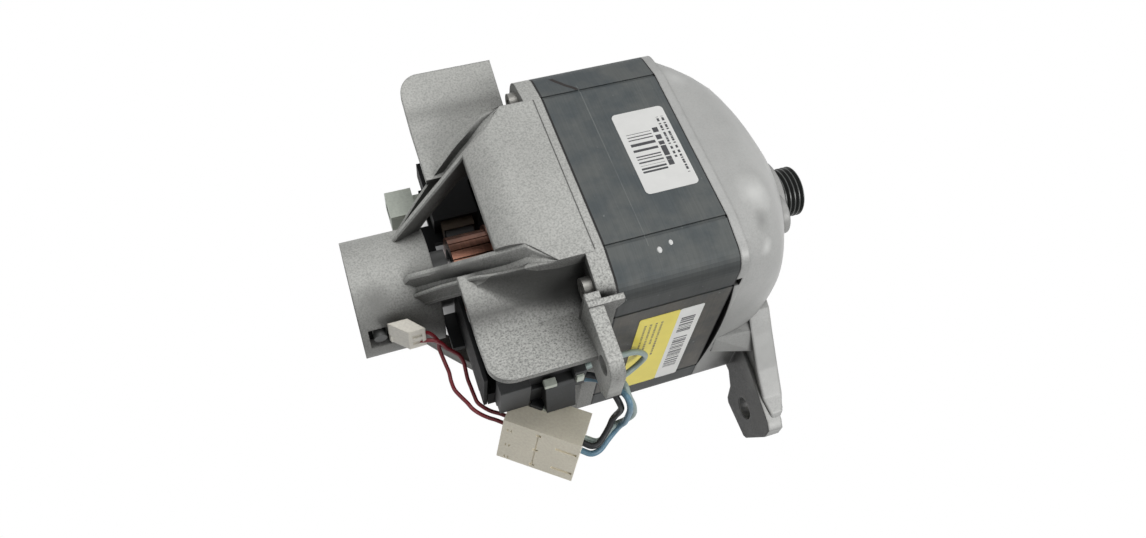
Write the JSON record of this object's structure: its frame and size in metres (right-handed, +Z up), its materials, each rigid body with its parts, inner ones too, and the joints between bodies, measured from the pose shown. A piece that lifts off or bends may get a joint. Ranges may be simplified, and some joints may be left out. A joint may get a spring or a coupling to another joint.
{
  "type": "washing machine motor",
  "caption": "Washing machine universal motor: laminated stator between two cast end shields, wound rotor with commutator, sprung brushes, tacho, ribbed belt pulley and wired plug.",
  "frame": {"origin": "on the shaft's axis in the belt plane, the middle of the ribbed pulley", "axes": "+X along the shaft out of the drive end, +Z up to the deck of the rear shield, -Y the side with the plug and the feet"},
  "size_m": [0.2131, 0.1729, 0.133],
  "materials": {
    "lamination_steel": "dark varnished laminations",
    "enamel_copper": "enamelled copper winding",
    "insulator_plastic": "satin",
    "front_aluminium": "die cast, smooth",
    "cast_aluminium": "die cast, blasted",
    "zinc_steel": "zinc plated",
    "bearing_steel": "ground",
    "ball_steel": "polished",
    "shaft_steel": "ground",
    "moulded_black": "moulded",
    "collar_plastic": "moulded",
    "commutator_copper": "turned copper",
    "pulley_steel": "blackened",
    "brass_tube": "drawn",
    "carbon": "pressed carbon",
    "spring_steel": "drawn wire",
    "terminal_sleeve": "satin",
    "ferrite": "sintered",
    "white_plug": "satin",
    "bracket_plastic": "moulded",
    "cream_plug": "satin",
    "red_wire": "insulated wire",
    "black_wire": "insulated wire",
    "blue_wire": "insulated wire",
    "grey_wire": "insulated wire"
  },
  "bodies": {
    "housing": {"stator_stack": "lamination_steel", "field_coil_upper": "enamel_copper", "field_coil_lower": "enamel_copper", "coil_insulator_upper": "insulator_plastic", "coil_insulator_lower": "insulator_plastic", "front_shield": "front_aluminium", "rear_shield": "cast_aluminium", "clamp_screws": "zinc_steel", "front_bearing_outer": "bearing_steel", "rear_bearing_outer": "bearing_steel", "bearing_washer": "bearing_steel", "brush_holder_near": "moulded_black", "brush_holder_far": "moulded_black", "brush_tube_near": "brass_tube", "brush_tube_far": "brass_tube", "brush_spring_near": "spring_steel", "brush_spring_far": "spring_steel", "brush_terminal_far": "terminal_sleeve", "tacho_coil": "collar_plastic", "tacho_cap": "moulded_black", "tacho_connector": "white_plug", "terminal_bracket": "bracket_plastic", "main_connector": "cream_plug", "red_wire_outer": "red_wire", "red_wire_inner": "red_wire", "black_lead": "black_wire", "blue_lead": "blue_wire", "grey_lead": "grey_wire"},
    "rotor": {"front_bearing_inner": "bearing_steel", "rear_bearing_inner": "bearing_steel", "shaft": "shaft_steel", "shaft_collar": "collar_plastic", "armature_core": "lamination_steel", "armature_winding": "enamel_copper", "commutator_hub": "moulded_black", "commutator_bars": "commutator_copper", "belt_pulley": "pulley_steel", "tacho_magnet": "ferrite"},
    "front_balls": {"front_bearing_balls": "ball_steel"},
    "rear_balls": {"rear_bearing_balls": "ball_steel"},
    "near_brush": {"brush_near": "carbon"},
    "far_brush": {"brush_far": "carbon"}
  },
  "joints": [
    {"name": "rotor_spin", "type": "hinge", "parent": "housing", "child": "rotor", "pos_m": [0, 0, 0], "axis": [1, 0, 0], "continuous": true},
    {"name": "front_balls_roll", "type": "hinge", "parent": "housing", "child": "front_balls", "pos_m": [-0.02585, 0, 0], "axis": [1, 0, 0], "continuous": true},
    {"name": "rear_balls_roll", "type": "hinge", "parent": "housing", "child": "rear_balls", "pos_m": [-0.1792, 0, 0], "axis": [1, 0, 0], "continuous": true},
    {"name": "near_brush_slide", "type": "slide", "parent": "housing", "child": "near_brush", "axis": [0, -1, 0], "range_m": [0, 0.008], "stiffness_N_per_m": 100, "springref_m": -0.002, "deforming": ["brush_spring_near"]},
    {"name": "far_brush_slide", "type": "slide", "parent": "housing", "child": "far_brush", "axis": [0, 1, 0], "range_m": [0, 0.008], "stiffness_N_per_m": 100, "springref_m": -0.002, "deforming": ["brush_spring_far"]}
  ],
  "couplings": [
    {"joint": "front_balls_roll", "follows": "rotor_spin", "ratio": 0.388},
    {"joint": "rear_balls_roll", "follows": "rotor_spin", "ratio": 0.373}
  ]
}
